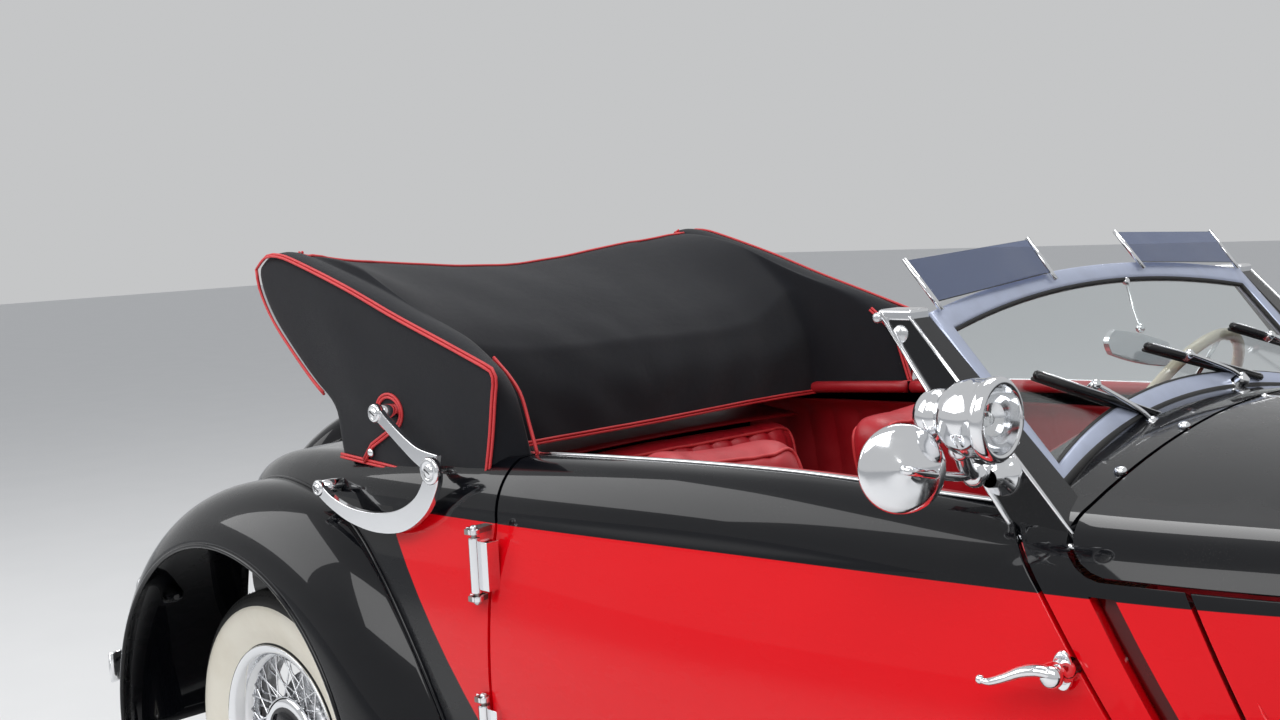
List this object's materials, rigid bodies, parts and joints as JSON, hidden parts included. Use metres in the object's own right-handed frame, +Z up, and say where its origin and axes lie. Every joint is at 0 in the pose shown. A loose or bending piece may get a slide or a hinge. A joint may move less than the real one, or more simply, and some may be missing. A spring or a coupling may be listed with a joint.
{
  "type": "convertible car",
  "caption": "Two-door drophead coupe of the middle 1930s in black and red, hood folded under its cover, wire wheels, rear-hinged doors, bonnet with lifting tops.",
  "frame": {"origin": "on the road, midway between the bumper tips, on the centre line", "axes": "+X forward, +Y to the left side of the car, +Z up"},
  "size_m": [4.5996, 1.7114, 1.472],
  "materials": {
    "black_paint": "deep gloss enamel",
    "red_paint": "deep gloss enamel, black above the belt line",
    "chrome": "polished",
    "frame_paint": "satin black",
    "tyre": "ribbed, with a cream wall",
    "wheel_metal": "polished rim and wires",
    "glass": "clear flat pane",
    "tinted_glass": "dark blue tint",
    "hood_cloth": "close-woven black cloth with red piping",
    "red_leather": "soft grain",
    "wood": "varnished veneer",
    "cream_plastic": "smooth",
    "steel": "dull",
    "iron": "painted",
    "rubber": "ribbed mat",
    "spare_cover": "gloss enamel"
  },
  "bodies": {
    "car": {"body_shell": "red_paint", "bonnet_sides": "red_paint", "bumper_front": "chrome", "bumper_rear": "chrome", "dashboard": "wood", "engine_block": "iron", "exhaust": "steel", "fenders_front": "black_paint", "fenders_rear": "black_paint", "floor": "frame_paint", "frame": "frame_paint", "front_axle": "frame_paint", "front_seats": "red_leather", "fuel_tank": "frame_paint", "grille": "chrome", "headlamps": "chrome", "hinge_pins": "chrome", "hood_cover": "hood_cloth", "landau_irons": "chrome", "radiator_shell": "chrome", "rear_axle": "frame_paint", "rear_bench": "red_leather", "running_boards": "rubber", "scuttle": "red_paint", "spare_wheel": "spare_cover", "spot_lamp": "chrome", "springs": "frame_paint", "steering_column": "frame_paint", "sun_visors": "tinted_glass", "tail_lamps": "black_paint", "windscreen_frame": "chrome", "windscreen_glass": "glass"},
    "knuckle_left": {"knuckle_left": "frame_paint"},
    "knuckle_right": {"knuckle_right": "frame_paint"},
    "tie_rod": {"tie_rod": "frame_paint"},
    "door_right": {"door_right": "red_paint", "door_fittings_right": "chrome"},
    "door_left": {"door_left": "red_paint", "door_fittings_left": "chrome"},
    "bonnet_right": {"bonnet_lid_right": "black_paint"},
    "bonnet_left": {"bonnet_lid_left": "black_paint"},
    "steering_wheel": {"steering_wheel": "cream_plastic"},
    "wheel_front_left": {"wheel_front_left": "wheel_metal", "tyre_front_left": "tyre"},
    "wheel_front_right": {"wheel_front_right": "wheel_metal", "tyre_front_right": "tyre"},
    "wheel_rear_left": {"wheel_rear_left": "wheel_metal", "tyre_rear_left": "tyre"},
    "wheel_rear_right": {"wheel_rear_right": "wheel_metal", "tyre_rear_right": "tyre"}
  },
  "joints": [
    {"name": "steer_right", "type": "hinge", "parent": "car", "child": "knuckle_right", "pos_m": [1.55, -0.533, 0.354], "axis": [0, 0, 1], "range_deg": [-28, 28]},
    {"name": "steer_left", "type": "hinge", "parent": "car", "child": "knuckle_left", "pos_m": [1.55, 0.533, 0.354], "axis": [0, 0, 1], "range_deg": [-28, 28]},
    {"name": "tie_rod_swing", "type": "hinge", "parent": "knuckle_right", "child": "tie_rod", "pos_m": [1.4, -0.533, 0.275], "axis": [0, 0, 1], "range_deg": [-28, 28]},
    {"name": "steering_wheel_turn", "type": "hinge", "parent": "car", "child": "steering_wheel", "pos_m": [0.11748, 0.35, 1.048], "axis": [-0.866, 0, 0.5], "range_deg": [-340, 340]},
    {"name": "wheel_front_left_spin", "type": "hinge", "parent": "knuckle_left", "child": "wheel_front_left", "pos_m": [1.55, 0.645, 0.356], "axis": [0, 1, 0], "continuous": true},
    {"name": "wheel_rear_left_spin", "type": "hinge", "parent": "car", "child": "wheel_rear_left", "pos_m": [-1.5, 0.645, 0.356], "axis": [0, 1, 0], "continuous": true},
    {"name": "wheel_front_right_spin", "type": "hinge", "parent": "knuckle_right", "child": "wheel_front_right", "pos_m": [1.55, -0.645, 0.356], "axis": [0, 1, 0], "continuous": true},
    {"name": "wheel_rear_right_spin", "type": "hinge", "parent": "car", "child": "wheel_rear_right", "pos_m": [-1.5, -0.645, 0.356], "axis": [0, 1, 0], "continuous": true},
    {"name": "door_right_swing", "type": "hinge", "parent": "car", "child": "door_right", "pos_m": [-0.663, -0.772, 0.75], "axis": [0, 0, -1], "range_deg": [0, 65]},
    {"name": "door_left_swing", "type": "hinge", "parent": "car", "child": "door_left", "pos_m": [-0.663, 0.772, 0.75], "axis": [0, 0, 1], "range_deg": [0, 65]},
    {"name": "bonnet_right_lift", "type": "hinge", "parent": "car", "child": "bonnet_right", "pos_m": [0.446, 0, 1.1692], "axis": [-0.9993, 0, 0.0379], "range_deg": [0, 50]},
    {"name": "bonnet_left_lift", "type": "hinge", "parent": "car", "child": "bonnet_left", "pos_m": [0.446, 0, 1.1692], "axis": [0.9993, 0, -0.0379], "range_deg": [0, 50]}
  ],
  "couplings": [
    {"joint": "steer_left", "follows": "steer_right", "ratio": 1},
    {"joint": "tie_rod_swing", "follows": "steer_right", "ratio": -1},
    {"joint": "steering_wheel_turn", "follows": "steer_right", "ratio": 12}
  ]
}
